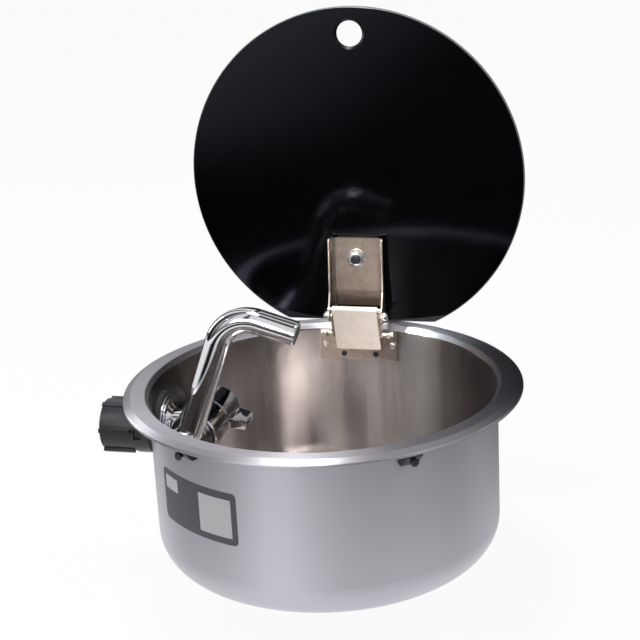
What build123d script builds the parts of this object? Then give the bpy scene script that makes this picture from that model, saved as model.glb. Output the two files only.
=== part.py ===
from build123d import *
from math import asin, atan2, cos, degrees, hypot, pi, radians, sin, tan
import os

# A round drop-in basin with a flip-up glass lid and a fold-down tap.
# The origin is on the bowl's axis, in the plane where the rim sits on a worktop.
# +Z is up, the lid hinge is towards +Y and the tap is towards -X. Lengths are millimetres.

# Bowl
flange_width = 21.8
rim_height = 5.0
lip_slope_width = 6.5
lip_slope_drop = 3.0
throat_flare = 3.6
throat_drop = 4.6
wall_outer_radius = 150.7
sheet = 0.8
rim_round = 1.6
bowl_depth = 150.0
base_round = 32.0
# One small length serves every cut that has to run past a face
overrun = 2.0
# Gaps between pieces that stay still, and between pieces that turn
seat_gap = 0.1
swing_gap = 0.3
running_gap = 0.05

wall_inner_radius = wall_outer_radius - sheet
rim_radius = wall_outer_radius + flange_width
floor_top = sheet - bowl_depth

# Lid glass, closed over the rim and standing up behind it when open
lid_overlap = 7.1
lid_thickness = 5.0
lid_edge_bevel = 1.0
lid_back_inset = 9.9
lid_closed_gap = 0.3
lid_open_offset = 8.1
lid_open_lift = 1.0
finger_hole_radius = 11.8
finger_hole_bevel = 2.2
finger_hole_edge_distance = 24.6
lid_radius = wall_inner_radius + lid_overlap
lid_back_edge = wall_inner_radius - lid_back_inset
lid_open_y = wall_inner_radius + lid_open_offset
lid_closed_z = rim_height + lid_closed_gap
lid_open_z = rim_height + lid_open_lift

# Hinge pivots: the upper pin is measured from the glass, the lower one from the turning centre
upper_pin_depth = 21.0
upper_pin_inboard = 11.4
lower_pin_reach = 8.4
pin_radius = 2.0
pin_head_radius = 4.3
pin_head_length = 5.0
hinge_sheet = 1.4

# Lid bracket
bracket_width = 52.0
bracket_length = 51.0
bracket_top_inboard = 83.0
bracket_kick_length = 16.0
bracket_kick_drop = 4.0
bracket_top_depth = 12.5
bracket_bend_depth = 17.5
bracket_bend_round = 6.5
bracket_corner_round = 1.5
bracket_ear_round = 6.0
bracket_sheet = 1.5
lid_pad_thickness = 4.5
lid_bolt_inboard = 63.5
lid_bolt_radius = 4.0
lid_bolt_tip = 4.5
lid_bolt_head_radius = 10.0
lid_bolt_head_height = 3.5
lid_washer_radius = 13.0
lid_washer_thickness = 1.2
lid_nut_flange_radius = 9.5
lid_nut_flange_height = 1.8
lid_nut_hex_width = 13.0
lid_nut_height = 6.0
lid_nut_bevel = 0.9

# Across the hinge the stay plate lies inside the link, the link inside the bracket, and the
# bracket between the base's ears
link_side_gap = 0.9
stay_side_gap = 0.9
ear_side_gap = 3.0
ear_thickness = 1.8
link_width = bracket_width - 2 * (bracket_sheet + link_side_gap)
stay_width = link_width - 2 * (hinge_sheet + stay_side_gap)
ear_inner_x = bracket_width / 2 + ear_side_gap

# Stay plate, which stands on the base's ledge when the lid is up
stay_roll_radius = 3.3
stay_rod_radius = 1.8
stay_roll_lift = 7.0
stay_roll_forward = 3.5
stay_foot_z = -18.6
stay_foot_inset = 5.6
stay_foot_y = wall_inner_radius - stay_foot_inset

# Link between the two pins
link_eye_round = 3.6
link_pin_eye_round = 4.4
link_web_offset = 3.6
link_web_share = 0.46

# Hinge base on the bowl wall
base_side_margin = 6.2
base_width = 2 * (ear_inner_x + ear_thickness + base_side_margin)
base_top_z = 0.2
base_bottom_z = -29.0
base_sheet = 1.2
ear_round = 4.2
ledge_depth = 4.2
ledge_thickness = 1.3
ledge_half_width = 22.5
base_screw_margin = 4.4
base_screw_x = base_width / 2 - base_screw_margin
base_screw_z = -14.2
base_screw_radius = 1.9
base_screw_head_radius = 3.3
base_screw_head_height = 1.9
rivet_x = 15.6
rivet_z = -24.4
rivet_radius = 1.6
rivet_head_radius = 2.8
rivet_head_height = 1.1

# Tap body, its axis parallel to Y beside the left wall
tap_wall_distance = 34.9
tap_z = -45.0
tap_radius = 21.8
tap_near_y = -22.0
tap_far_y = 17.4
tap_bead_height = 0.7
tap_bead_width = 2.6
tap_edge_round = 2.0
neck_radius = 16.5
shank_radius = 13.0
shank_reach = 48.3
pipe_socket_radius = 6.05
pipe_socket_depth = 25.0
waterway_radius = 4.0
cartridge_radius = 15.5
cartridge_inner_y = -3.0
cartridge_flange_y = 17.4
cartridge_collar_radius = 12.0
cartridge_top_y = 33.0
stem_radius = 4.0
stem_inner_y = 5.0
stem_top_y = 46.0
stem_thread_depth = 12.0
spigot_radius = 11.5
spigot_end_y = -49.5
spigot_bore_radius = 5.0
spigot_bore_end_y = -44.5
spigot_port_radius = 4.0
seal_width = 1.8
seal_depth = 1.2
seal_setback = 3.6

# Escutcheon inside the wall, gaskets, collar and nut outside it
escutcheon_radius = 30.0
escutcheon_seat = 5.4
escutcheon_rim = 2.6
escutcheon_dome_radius = 24.0
escutcheon_dome_height = 4.4
escutcheon_round = 1.1
escutcheon_step_radius = 27.4
escutcheon_step_height = 1.3
gasket_margin = 2.6
outer_gasket_radius = 23.0
outer_gasket_depth = 5.3
collar_radius = 24.0
collar_length = 14.0
collar_notch_width = 9.0
collar_notch_depth = 3.0
nut_radius = 25.6
nut_length = 32.0
nut_lobes = 8
nut_lobe_width = 11.5
nut_lobe_height = 1.6
nut_lobe_setback = 2.5
nut_bevel = 1.4

# Spout, folded about the tap axis
spout_angle = 70.0
spout_turn = 87.0
spout_stem = 131.5
spout_arm = 62.3
spout_bend_radius = 30.0
spout_radius = 11.0
spout_wall = 1.4
spout_socket_start = 14.2
knuckle_radius = 17.0
knuckle_length = 30.0
knuckle_round = 2.0
knuckle_chamber_radius = 13.4
knuckle_chamber_width = 11.0
knuckle_end_wall = 2.6
knuckle_port_radius = 8.0
retainer_head_radius = 9.0
retainer_head_height = 2.6
retainer_radius = 3.0
retainer_depth = 4.6
aerator_length = 7.0
aerator_recess = 1.0
aerator_hole_radius = 1.3
aerator_hole_ring = 5.4
aerator_holes = 8

# Handle
handle_radius = 22.0
handle_start_y = 17.8
handle_end_y = 54.0
handle_wall = 4.5
handle_end_wall = 5.0
handle_round = 4.0
handle_hub_radius = 7.5
handle_screw_radius = 2.0
handle_screw_head_radius = 4.2
handle_screw_head_height = 2.2
handle_button_radius = 7.0
handle_button_thickness = 1.6
lever_reach = 14.0
lever_root_width = 29.0
lever_tip_width = 24.0
lever_root_height = 10.5
lever_tip_height = 8.4
lever_tilt = 10.0
lever_pocket_depth = 6.0
lever_wall = 1.3
lever_root_depth = 3.0
lever_round = 1.6
lever_y = 35.5

# Waste outlet in the floor
waste_hole_radius = 20.0
strainer_flange_radius = 32.0
strainer_thickness = 1.2
strainer_cup_radius = 19.4
strainer_cup_depth = 9.0
strainer_hole_radius = 1.85
strainer_hole_ring = 11.5
strainer_holes = 10
strainer_inner_hole_radius = 1.7
strainer_inner_ring = 6.2
waste_gasket_thickness = 2.5
waste_gasket_radius = 29.5
waste_flange_radius = 30.0
waste_flange_thickness = 4.0
waste_cup_radius = 23.5
waste_cup_wall = 2.6
waste_cup_depth = 19.0
waste_tail_radius = 12.5
waste_tail_wall = 2.2
waste_tail_length = 18.0
waste_web_width = 5.0
waste_web_height = 4.0
waste_web_drop = 12.0
waste_screw_radius = 2.5
waste_screw_head_radius = 5.0
waste_screw_head_height = 1.8

# Clips that hold the rim down on a worktop
clip_count = 5
clip_start_angle = -32.4
clip_width = 15.0
clip_reach = 12.0
clip_top_z = -2.6
clip_height = 13.0
clip_toe_height = 3.6
clip_sheet_gap = 0.1
clip_screw_radius = 1.9
clip_screw_head_radius = 3.6
clip_screw_head_height = 2.2
clip_screw_drop = 8.2

# Blank label on the outside of the bowl
label_start_angle = -50.0
label_end_angle = -15.0
label_top_z = -38.0
label_bottom_z = -84.0
label_thickness = 0.25
label_corner_round = 4.0
panel_thickness = 0.1
square_panel_width = 34.0
square_panel_margin = 5.0
small_panel_width = 20.0
small_panel_height = 12.0

BASE_UP = (Align.CENTER, Align.CENTER, Align.MIN)


def rod(radius, length, start, direction):
    """A cylinder from a start point along a direction."""
    return Plane(origin=start, z_dir=direction) * Cylinder(radius, length, align=BASE_UP)


def ring(outer, inner, length, start, direction):
    """A tube from a start point along a direction."""
    back = Vector(*start) - Vector(*direction).normalized() * overrun
    return rod(outer, length, start, direction) - rod(inner, length + 2 * overrun, back, direction)


def block(low, high):
    """A box between two opposite corners."""
    size = [b - a for a, b in zip(low, high)]
    middle = [(a + b) / 2 for a, b in zip(low, high)]
    return Pos(*middle) * Box(*size)


def rounded(points, radii):
    """A closed outline with each corner rounded by its own radius."""
    outline = make_face(Polyline(*points, close=True)).face()
    for point, radius in zip(points, radii):
        if radius > 0:
            corner = min(outline.vertices(), key=lambda v: (v.center() - Vector(*point)).length)
            outline = outline.fillet_2d(radius, [corner])
    return outline


def turned(points, radii):
    """A solid of revolution about Z from an outline of radius and height."""
    return revolve(Plane.XZ * rounded(points, radii), Axis.Z)


def side_plate(outline, start_x, thickness):
    """A plate across the hinge axis, from an outline drawn in Y and Z."""
    return extrude(Plane.YZ.offset(start_x) * outline, thickness)


def round_edges(solid, radius, axis, least, most):
    """Round the circular edges whose middle lies between two places along an axis."""
    edges = solid.edges().filter_by(GeomType.CIRCLE).filter_by_position(axis, least, most)
    return fillet(edges, radius)


def from_lid(inboard, depth):
    """A place in Y and Z on the open lid: up from its back edge, and out from its inner face."""
    return (lid_open_y - depth, lid_open_z + inboard)


def wall_turns(spread):
    """The two turns about Z that set a fastener square to the wall, this far to each side."""
    turn = degrees(asin(spread / wall_inner_radius))
    return (turn, -turn)


def wall_holes(spread, z, radius):
    """Cutters for a pair of holes square through the wall behind the hinge."""
    hole = rod(radius, rim_radius, (0, 0, z), (0, 1, 0))
    return [Rot(0, 0, turn) * hole for turn in wall_turns(spread)]


# The lid turns a right angle from open to closed. A pivot on the lid and the pivot on the base
# that carries it lie on two lines through one turning centre, half that angle apart.
centre_sum = lid_back_edge + lid_open_z
centre_difference = lid_open_y - lid_closed_z
turning_centre = ((centre_sum + centre_difference) / 2, (centre_sum - centre_difference) / 2)
upper_pin = from_lid(upper_pin_inboard, upper_pin_depth)
upper_angle = degrees(atan2(upper_pin[1] - turning_centre[1], upper_pin[0] - turning_centre[0]))
lower_direction = radians(upper_angle + 45)
lower_pin = (turning_centre[0] + lower_pin_reach * cos(lower_direction),
             turning_centre[1] + lower_pin_reach * sin(lower_direction))
open_direction = degrees(atan2(upper_pin[1] - lower_pin[1], upper_pin[0] - lower_pin[0]))
closed_pin = (lid_back_edge - upper_pin_inboard, lid_closed_z - upper_pin_depth)
closed_direction = degrees(atan2(closed_pin[1] - lower_pin[1], closed_pin[0] - lower_pin[0]))
link_swing = (closed_direction - open_direction) % 360
stay_pivot = (upper_pin[0] - stay_roll_forward, upper_pin[1] + stay_roll_lift)

# Places that several pieces share
tap_x = tap_wall_distance - wall_inner_radius
escutcheon_back_x = escutcheon_seat - wall_inner_radius
outer_gasket_x = -wall_outer_radius - outer_gasket_depth
shank_end_x = -wall_outer_radius - shank_reach
tap_axis = (tap_x, 0, tap_z)
spout_y = tap_near_y - swing_gap - knuckle_length / 2
knuckle_end_y = spout_y - knuckle_length / 2
escutcheon_front_x = escutcheon_back_x + escutcheon_rim + escutcheon_dome_height
collar_end_x = outer_gasket_x - collar_length
nut_end_x = collar_end_x - nut_length
waste_gasket_z = -bowl_depth - waste_gasket_thickness


def make_bowl():
    inner_top = rim_radius - sheet
    slope_start = rim_radius - lip_slope_width
    slope_end_z = rim_height - lip_slope_drop
    throat_top = wall_inner_radius + throat_flare
    throat_low_z = rim_height - throat_drop
    slope = atan2(lip_slope_drop, lip_slope_width)
    throat = atan2(throat_drop, throat_flare)
    outline = [
        (0, floor_top), (wall_inner_radius, floor_top), (wall_inner_radius, throat_low_z),
        (throat_top, rim_height), (slope_start, rim_height), (rim_radius, slope_end_z),
        (rim_radius, 0), (inner_top, 0),
        (inner_top, slope_end_z - sheet * tan((pi / 2 - slope) / 2)),
        (slope_start - sheet * tan(slope / 2), rim_height - sheet),
        (throat_top + sheet * tan(throat / 2), rim_height - sheet),
        (wall_outer_radius, throat_low_z - sheet * tan((pi / 2 - throat) / 2)),
        (wall_outer_radius, -bowl_depth), (0, -bowl_depth),
    ]
    under_round = rim_round - sheet
    radii = [0, base_round - sheet, rim_round, rim_round, rim_round, rim_round, 0, 0,
             under_round, under_round, under_round, under_round, base_round, 0]
    bowl = turned(outline, radii)
    bowl -= rod(shank_radius + swing_gap, rim_radius, (0, 0, tap_z), (-1, 0, 0))
    bowl -= rod(waste_hole_radius, bowl_depth, (0, 0, floor_top + overrun), (0, 0, -1))
    bowl -= wall_holes(rivet_x, rivet_z, rivet_radius)
    bowl -= wall_holes(base_screw_x, base_screw_z, base_screw_radius)
    return bowl


def make_lid_glass():
    square = Pos(0, lid_back_edge - lid_radius) * Rectangle(2 * lid_radius, 2 * lid_radius)
    disc = Circle(lid_radius) & square
    glass = extrude(disc, lid_thickness)
    glass = chamfer(glass.edges().group_by(Axis.Z)[0] + glass.edges().group_by(Axis.Z)[-1], lid_edge_bevel)
    hole_y = finger_hole_edge_distance - lid_radius
    glass -= rod(finger_hole_radius, lid_thickness + 2 * overrun, (0, hole_y, -overrun), (0, 0, 1))
    mouth = finger_hole_radius + finger_hole_bevel
    bevel = Cone(mouth, finger_hole_radius, finger_hole_bevel, align=BASE_UP)
    glass -= Pos(0, hole_y, 0) * bevel
    glass -= Pos(0, hole_y, lid_thickness) * Rot(180, 0, 0) * bevel
    bolt_y = lid_back_edge - lid_bolt_inboard
    bolt_hole = lid_bolt_radius + swing_gap
    glass -= rod(bolt_hole, lid_thickness + 2 * overrun, (0, bolt_y, -overrun), (0, 0, 1))
    # Modelled lying with its inner face down, then stood up behind the rim
    glass = Rot(-90, 0, 0) * Pos(0, -lid_back_edge, 0) * glass
    return Pos(0, lid_open_y, lid_open_z) * glass


def bolt_place(depth):
    y, z = from_lid(lid_bolt_inboard, depth)
    return (0, y, z)


def make_lid_pad():
    low = from_lid(bracket_top_inboard - bracket_length, lid_pad_thickness - seat_gap)
    high = from_lid(bracket_top_inboard, seat_gap)
    half = bracket_width / 2 - bracket_bend_round
    pad = block((-half, low[0], low[1]), (half, high[0], high[1]))
    pad = fillet(pad.edges().filter_by(Axis.Y), bracket_sheet)
    return pad - rod(lid_bolt_radius + swing_gap, 2 * lid_pad_thickness, bolt_place(-overrun), (0, -1, 0))


def bent_block(points, start_x, width, radius):
    """A block across the hinge axis, with its two long back corners rounded."""
    solid = side_plate(rounded(points, [0] * len(points)), start_x, width)
    runs = ((points[-2], points[-1]), (points[-1], points[0]))
    middles = [((a[0] + b[0]) / 2, (a[1] + b[1]) / 2) for a, b in runs]
    corners = [edge for edge in solid.edges().filter_by(GeomType.LINE)
               if min(hypot(edge.center().Y - y, edge.center().Z - z) for y, z in middles) < seat_gap]
    return fillet(corners, radius)


def make_lid_bracket():
    half = bracket_width / 2
    back = lid_pad_thickness
    front = lid_pad_thickness + bracket_sheet
    top = bracket_top_inboard
    bend = bracket_top_inboard - bracket_length
    foot = bend - bracket_kick_length
    ear_low = upper_pin_inboard - bracket_ear_round
    ear_out = upper_pin_depth + bracket_ear_round
    kick_end = bracket_kick_drop * (1 + overrun / bracket_kick_length)
    # A bent channel: a solid with round back edges, less the same shape one sheet further in
    outer_points = [from_lid(top, back), from_lid(top, ear_out), from_lid(foot, ear_out),
                    from_lid(foot, back - bracket_kick_drop), from_lid(bend, back)]
    inner_points = [from_lid(top + overrun, front), from_lid(top + overrun, ear_out + overrun),
                    from_lid(foot - overrun, ear_out + overrun),
                    from_lid(foot - overrun, front - kick_end),
                    from_lid(bend, front)]
    channel = bent_block(outer_points, -half, bracket_width, bracket_bend_round)
    hollow = bent_block(inner_points, bracket_sheet - half, bracket_width - 2 * bracket_sheet,
                        bracket_bend_round - bracket_sheet)
    side_points = [from_lid(top, back - bracket_kick_drop), from_lid(top, bracket_top_depth),
                   from_lid(bend, bracket_bend_depth),
                   from_lid(ear_low + bracket_ear_round, ear_out), from_lid(ear_low, ear_out),
                   from_lid(ear_low, ear_out - 2 * bracket_ear_round),
                   from_lid(foot, back - bracket_kick_drop)]
    side_radii = [0, bracket_corner_round, bracket_ear_round, bracket_corner_round,
                  bracket_ear_round * 0.9, bracket_ear_round * 0.9, 0]
    bracket = (channel - hollow) & side_plate(rounded(side_points, side_radii), -half, bracket_width)
    ear_points = [from_lid(foot, back - bracket_kick_drop + bracket_bend_round),
                  from_lid(bend, bracket_bend_depth),
                  from_lid(ear_low + bracket_ear_round, ear_out), from_lid(ear_low, ear_out),
                  from_lid(ear_low, ear_out - 2 * bracket_ear_round)]
    ear_radii = [0, 0, bracket_corner_round, bracket_ear_round * 0.9, bracket_ear_round * 0.9]
    ear = rounded(ear_points, ear_radii)
    bracket += side_plate(ear, -half, bracket_sheet)
    bracket += side_plate(ear, half - bracket_sheet, bracket_sheet)
    pin_start = (-half - overrun, upper_pin[0], upper_pin[1])
    bracket -= rod(pin_radius, bracket_width + 2 * overrun, pin_start, (1, 0, 0))
    rod_start = (-half - overrun, stay_pivot[0], stay_pivot[1])
    bracket -= rod(stay_rod_radius, bracket_width + 2 * overrun, rod_start, (1, 0, 0))
    return bracket - rod(lid_bolt_radius + seat_gap, front + 2 * overrun, bolt_place(-overrun), (0, -1, 0))


def make_lid_washer():
    return ring(lid_washer_radius, lid_bolt_radius + seat_gap, lid_washer_thickness,
                bolt_place(-lid_thickness), (0, 1, 0))


def make_lid_bolt():
    head_base = lid_thickness + lid_washer_thickness
    tip_depth = lid_pad_thickness + bracket_sheet + lid_nut_height + lid_bolt_tip - lid_bolt_radius
    shank = rod(lid_bolt_radius, head_base + tip_depth, bolt_place(-head_base), (0, -1, 0))
    head = rod(lid_bolt_head_radius, lid_bolt_head_height, bolt_place(-head_base), (0, 1, 0))
    face_y = lid_open_y + head_base
    head = round_edges(head, lid_bolt_head_height * 0.8, Axis.Y,
                       face_y + lid_bolt_head_height / 2, face_y + 2 * lid_bolt_head_height)
    shank = chamfer(shank.edges().filter_by(GeomType.CIRCLE).sort_by(Axis.Y)[0], lid_bolt_radius / 6)
    return shank + head


def make_lid_nut():
    seat_depth = lid_pad_thickness + bracket_sheet
    flange = rod(lid_nut_flange_radius, lid_nut_flange_height, bolt_place(seat_depth), (0, -1, 0))
    front_y = lid_open_y - seat_depth - lid_nut_flange_height
    flange = round_edges(flange, lid_nut_flange_height * 0.6, Axis.Y, front_y - overrun, front_y + seat_gap)
    hexagon = Plane(origin=bolt_place(seat_depth), z_dir=(0, -1, 0)) * RegularPolygon(
        lid_nut_hex_width / 2, 6, major_radius=False)
    nut = flange + extrude(hexagon, lid_nut_height)
    crown = rod(lid_nut_hex_width / 2 + lid_nut_bevel, seat_depth + lid_nut_height, bolt_place(0),
                (0, -1, 0))
    crown = chamfer(crown.edges().filter_by(GeomType.CIRCLE).sort_by(Axis.Y)[0], lid_nut_bevel)
    nut = nut & (crown + flange)
    return nut - rod(lid_bolt_radius + seat_gap / 2, 2 * lid_nut_height,
                     bolt_place(seat_depth - overrun), (0, -1, 0))


def domed_head(place, direction):
    """A pin head with a rounded face."""
    head = rod(pin_head_radius, pin_head_length, place, direction)
    outer = head.edges().filter_by(GeomType.CIRCLE).sort_by(Axis.X)[-1 if direction[0] > 0 else 0]
    return fillet(outer, pin_head_radius * 0.8)


def make_upper_pin():
    half = bracket_width / 2 + seat_gap
    pin = rod(pin_radius, 2 * half, (-half, upper_pin[0], upper_pin[1]), (1, 0, 0))
    pin += domed_head((half, upper_pin[0], upper_pin[1]), (1, 0, 0))
    return pin + domed_head((-half, upper_pin[0], upper_pin[1]), (-1, 0, 0))


def make_stay_rod():
    half = bracket_width / 2
    return rod(stay_rod_radius, 2 * half, (-half, stay_pivot[0], stay_pivot[1]), (1, 0, 0))


def make_stay_plate():
    half = stay_width / 2
    roll = ring(stay_roll_radius, stay_rod_radius + running_gap, stay_width,
                (-half, stay_pivot[0], stay_pivot[1]), (1, 0, 0))
    lean = atan2(stay_foot_y - stay_pivot[0] + stay_roll_radius, stay_pivot[1] - stay_foot_z)
    front_y = stay_pivot[0] - stay_roll_radius * cos(lean)
    front_z = stay_pivot[1] - stay_roll_radius * sin(lean)
    drop = (front_z - stay_foot_z) / cos(lean)
    foot = (front_y + drop * sin(lean), stay_foot_z)
    step = (hinge_sheet * cos(lean), hinge_sheet * sin(lean))
    points = [(front_y, front_z), foot, (foot[0] + step[0], foot[1] + step[1]),
              (front_y + step[0], front_z + step[1])]
    plate = side_plate(rounded(points, [0] * 4), -half, stay_width)
    plate -= rod(stay_rod_radius + running_gap, stay_width + 2 * overrun,
                 (-half - overrun, stay_pivot[0], stay_pivot[1]), (1, 0, 0))
    return roll + plate


def make_hinge_link():
    half = link_width / 2
    reach_y = upper_pin[0] - lower_pin[0]
    reach_z = upper_pin[1] - lower_pin[1]
    reach = hypot(reach_y, reach_z)
    along = Vector(reach_y / reach, reach_z / reach)
    across = Vector(along.Y, -along.X)
    low = Vector(*lower_pin)
    high = Vector(*upper_pin)
    low_eye = Pos(*low) * Circle(link_eye_round)
    high_eye = Pos(*high) * Circle(link_pin_eye_round)
    strap = make_hull(low_eye.edges() + high_eye.edges())
    tab_start = low + along * (reach * (1 - link_web_share) / 2)
    tab_end = tab_start + along * (reach * link_web_share)
    web_out = across * (link_web_offset + hinge_sheet)
    web_in = across * link_web_offset
    tab_corners = (tab_start, tab_end, tab_end + web_out, tab_start + web_out)
    web_corners = (tab_start + web_in, tab_end + web_in, tab_end + web_out, tab_start + web_out)
    tab = make_face(Polyline(*[(p.X, p.Y) for p in tab_corners], close=True))
    web = make_face(Polyline(*[(p.X, p.Y) for p in web_corners], close=True))
    link = side_plate(strap + tab, -half, hinge_sheet)
    link += side_plate(strap + tab, half - hinge_sheet, hinge_sheet)
    link += side_plate(web, -half, link_width)
    for pivot in (lower_pin, upper_pin):
        start = (-half - overrun, pivot[0], pivot[1])
        link -= rod(pin_radius + running_gap, link_width + 2 * overrun, start, (1, 0, 0))
    return link


def make_lower_pins():
    inner = link_width / 2 - hinge_sheet
    outer = ear_inner_x + ear_thickness + seat_gap
    pins = []
    for side in (-1, 1):
        start = (side * inner, lower_pin[0], lower_pin[1])
        pin = rod(pin_radius, outer - inner, start, (side, 0, 0))
        head_start = (side * outer, lower_pin[0], lower_pin[1])
        head = rod(pin_radius * 1.3, pin_head_length * 0.7, head_start, (side, 0, 0))
        pins.append(pin + head)
    return Compound(children=pins)


def make_hinge_base():
    outer = wall_inner_radius - seat_gap
    inner = outer - base_sheet
    half = base_width / 2
    shell = ring(outer, inner, base_top_z - base_bottom_z, (0, 0, base_bottom_z), (0, 0, 1))
    base = shell & block((-half, 0, base_bottom_z), (half, rim_radius, base_top_z))
    ledge_top = stay_foot_z - seat_gap - swing_gap
    ledge = ring(outer - base_sheet / 2, inner - ledge_depth, ledge_thickness,
                 (0, 0, ledge_top - ledge_thickness), (0, 0, 1))
    base += ledge & block((-ledge_half_width, 0, ledge_top - ledge_thickness),
                          (ledge_half_width, rim_radius, ledge_top))
    solid_wall = rod(outer - base_sheet / 2, base_top_z - base_bottom_z, (0, 0, base_bottom_z), (0, 0, 1))
    for side in (-1, 1):
        start_x = side * ear_inner_x if side > 0 else -ear_inner_x - ear_thickness
        eye = Pos(*lower_pin) * Circle(ear_round)
        root = make_face(Polyline(
            (lower_pin[0], lower_pin[1] + ear_round), (lower_pin[0], lower_pin[1] - ear_round),
            (wall_outer_radius, lower_pin[1] - 2 * ear_round),
            (wall_outer_radius, lower_pin[1] + ear_round), close=True))
        base += side_plate(eye + root, start_x, ear_thickness) & solid_wall
        pin_start = (start_x - overrun, lower_pin[0], lower_pin[1])
        base -= rod(pin_radius, ear_thickness + 2 * overrun, pin_start, (1, 0, 0))
    base -= wall_holes(rivet_x, rivet_z, rivet_radius)
    base -= wall_holes(base_screw_x, base_screw_z, base_screw_radius)
    return base


def wall_fasteners(spread, z, radius, head_radius, head_height):
    """A pair of fasteners square through the base and the bowl wall, with a head on each side."""
    inside_y = wall_inner_radius - seat_gap - base_sheet - seat_gap / 2
    outside_y = wall_outer_radius + seat_gap / 2
    fastener = rod(radius, outside_y - inside_y, (0, inside_y, z), (0, 1, 0))
    inside = rod(head_radius, head_height, (0, inside_y, z), (0, -1, 0))
    fastener += fillet(inside.edges().filter_by(GeomType.CIRCLE).sort_by(Axis.Y)[0], head_height * 0.7)
    outside = rod(head_radius * 0.9, head_height, (0, outside_y, z), (0, 1, 0))
    fastener += fillet(outside.edges().filter_by(GeomType.CIRCLE).sort_by(Axis.Y)[-1], head_height * 0.6)
    return Compound(children=[Rot(0, 0, turn) * fastener for turn in wall_turns(spread)])


def make_tap_body():
    length = tap_far_y - tap_near_y
    body = rod(tap_radius, length, (tap_x, tap_near_y, tap_z), (0, 1, 0))
    body = round_edges(body, tap_edge_round, Axis.Y, tap_near_y - overrun, tap_near_y + overrun)
    bead = rod(tap_radius + tap_bead_height, tap_bead_width, (tap_x, tap_far_y - tap_bead_width, tap_z),
               (0, 1, 0))
    body += fillet(bead.edges().filter_by(GeomType.CIRCLE), tap_bead_height * 0.8)
    body += rod(neck_radius, tap_x - escutcheon_front_x, tap_axis, (-1, 0, 0))
    body += rod(shank_radius, tap_x - shank_end_x, tap_axis, (-1, 0, 0))
    body += rod(spigot_radius, tap_near_y - spigot_end_y, (tap_x, tap_near_y, tap_z), (0, -1, 0))
    body -= rod(cartridge_radius + seat_gap, tap_far_y - cartridge_inner_y + overrun,
                (tap_x, cartridge_inner_y, tap_z), (0, 1, 0))
    body -= rod(spigot_bore_radius, cartridge_inner_y - spigot_bore_end_y + overrun,
                (tap_x, spigot_bore_end_y, tap_z), (0, 1, 0))
    body -= rod(spigot_port_radius, 4 * spigot_radius, (tap_x, spout_y, tap_z - 2 * spigot_radius),
                (0, 0, 1))
    body -= rod(retainer_radius, retainer_depth, (tap_x, spigot_end_y - seat_gap, tap_z), (0, 1, 0))
    body -= rod(pipe_socket_radius, pipe_socket_depth + overrun, (shank_end_x - overrun, 0, tap_z),
                (1, 0, 0))
    body -= rod(waterway_radius, tap_x - shank_end_x, (shank_end_x, 0, tap_z), (1, 0, 0))
    for y in (tap_near_y - seal_setback, spigot_end_y + seal_setback):
        body -= ring(spigot_radius + overrun, spigot_radius - seal_depth, seal_width + 2 * seat_gap,
                     (tap_x, y - seal_width / 2 - seat_gap, tap_z), (0, 1, 0))
    return body


def make_spout_seals():
    seals = []
    for y in (tap_near_y - seal_setback, spigot_end_y + seal_setback):
        seals.append(ring(spigot_radius, spigot_radius - seal_depth + running_gap, seal_width,
                          (tap_x, y - seal_width / 2, tap_z), (0, 1, 0)))
    return Compound(children=seals)


def make_escutcheon():
    disc = rod(escutcheon_radius, escutcheon_rim, (escutcheon_back_x, 0, tap_z), (1, 0, 0))
    disc = fillet(disc.edges().filter_by(GeomType.CIRCLE).sort_by(Axis.X)[-1], escutcheon_round)
    dome_start = (escutcheon_back_x + escutcheon_rim, 0, tap_z)
    dome = Plane(origin=dome_start, z_dir=(1, 0, 0)) * Cone(
        escutcheon_dome_radius, neck_radius + escutcheon_round, escutcheon_dome_height, align=BASE_UP)
    step = rod(escutcheon_step_radius, escutcheon_step_height, dome_start, (1, 0, 0))
    disc += fillet(step.edges().filter_by(GeomType.CIRCLE).sort_by(Axis.X)[-1], escutcheon_step_height / 2)
    disc += fillet(dome.edges().filter_by(GeomType.CIRCLE).sort_by(Axis.X)[-1], escutcheon_round)
    return disc - rod(shank_radius + seat_gap, 4 * escutcheon_dome_radius,
                      (escutcheon_back_x - overrun, 0, tap_z), (1, 0, 0))


def make_inner_gasket():
    radius = escutcheon_radius + gasket_margin
    pad = ring(radius, shank_radius + seat_gap, rim_radius + escutcheon_back_x, (-rim_radius, 0, tap_z),
               (1, 0, 0))
    inside = rod(wall_inner_radius - seat_gap, 4 * radius, (0, 0, tap_z - 2 * radius), (0, 0, 1))
    return pad & inside


def make_outer_gasket():
    pad = ring(outer_gasket_radius, shank_radius + seat_gap, rim_radius + outer_gasket_x,
               (outer_gasket_x, 0, tap_z), (1, 0, 0))
    wall = rod(wall_outer_radius + seat_gap, 4 * outer_gasket_radius,
               (0, 0, tap_z - 2 * outer_gasket_radius), (0, 0, 1))
    return pad - wall


def make_tap_collar():
    collar = ring(collar_radius, shank_radius + seat_gap, collar_length, (collar_end_x, 0, tap_z),
                  (1, 0, 0))
    for side in (-1, 1):
        notch_start = side * collar_radius
        notch_end = side * (collar_radius - collar_notch_depth)
        low_y = min(notch_start, notch_end) - (overrun if side < 0 else 0)
        high_y = max(notch_start, notch_end) + (overrun if side > 0 else 0)
        collar -= block((collar_end_x - overrun, low_y, tap_z - collar_notch_width / 2),
                        (collar_end_x + collar_length / 2, high_y, tap_z + collar_notch_width / 2))
    return collar


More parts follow.
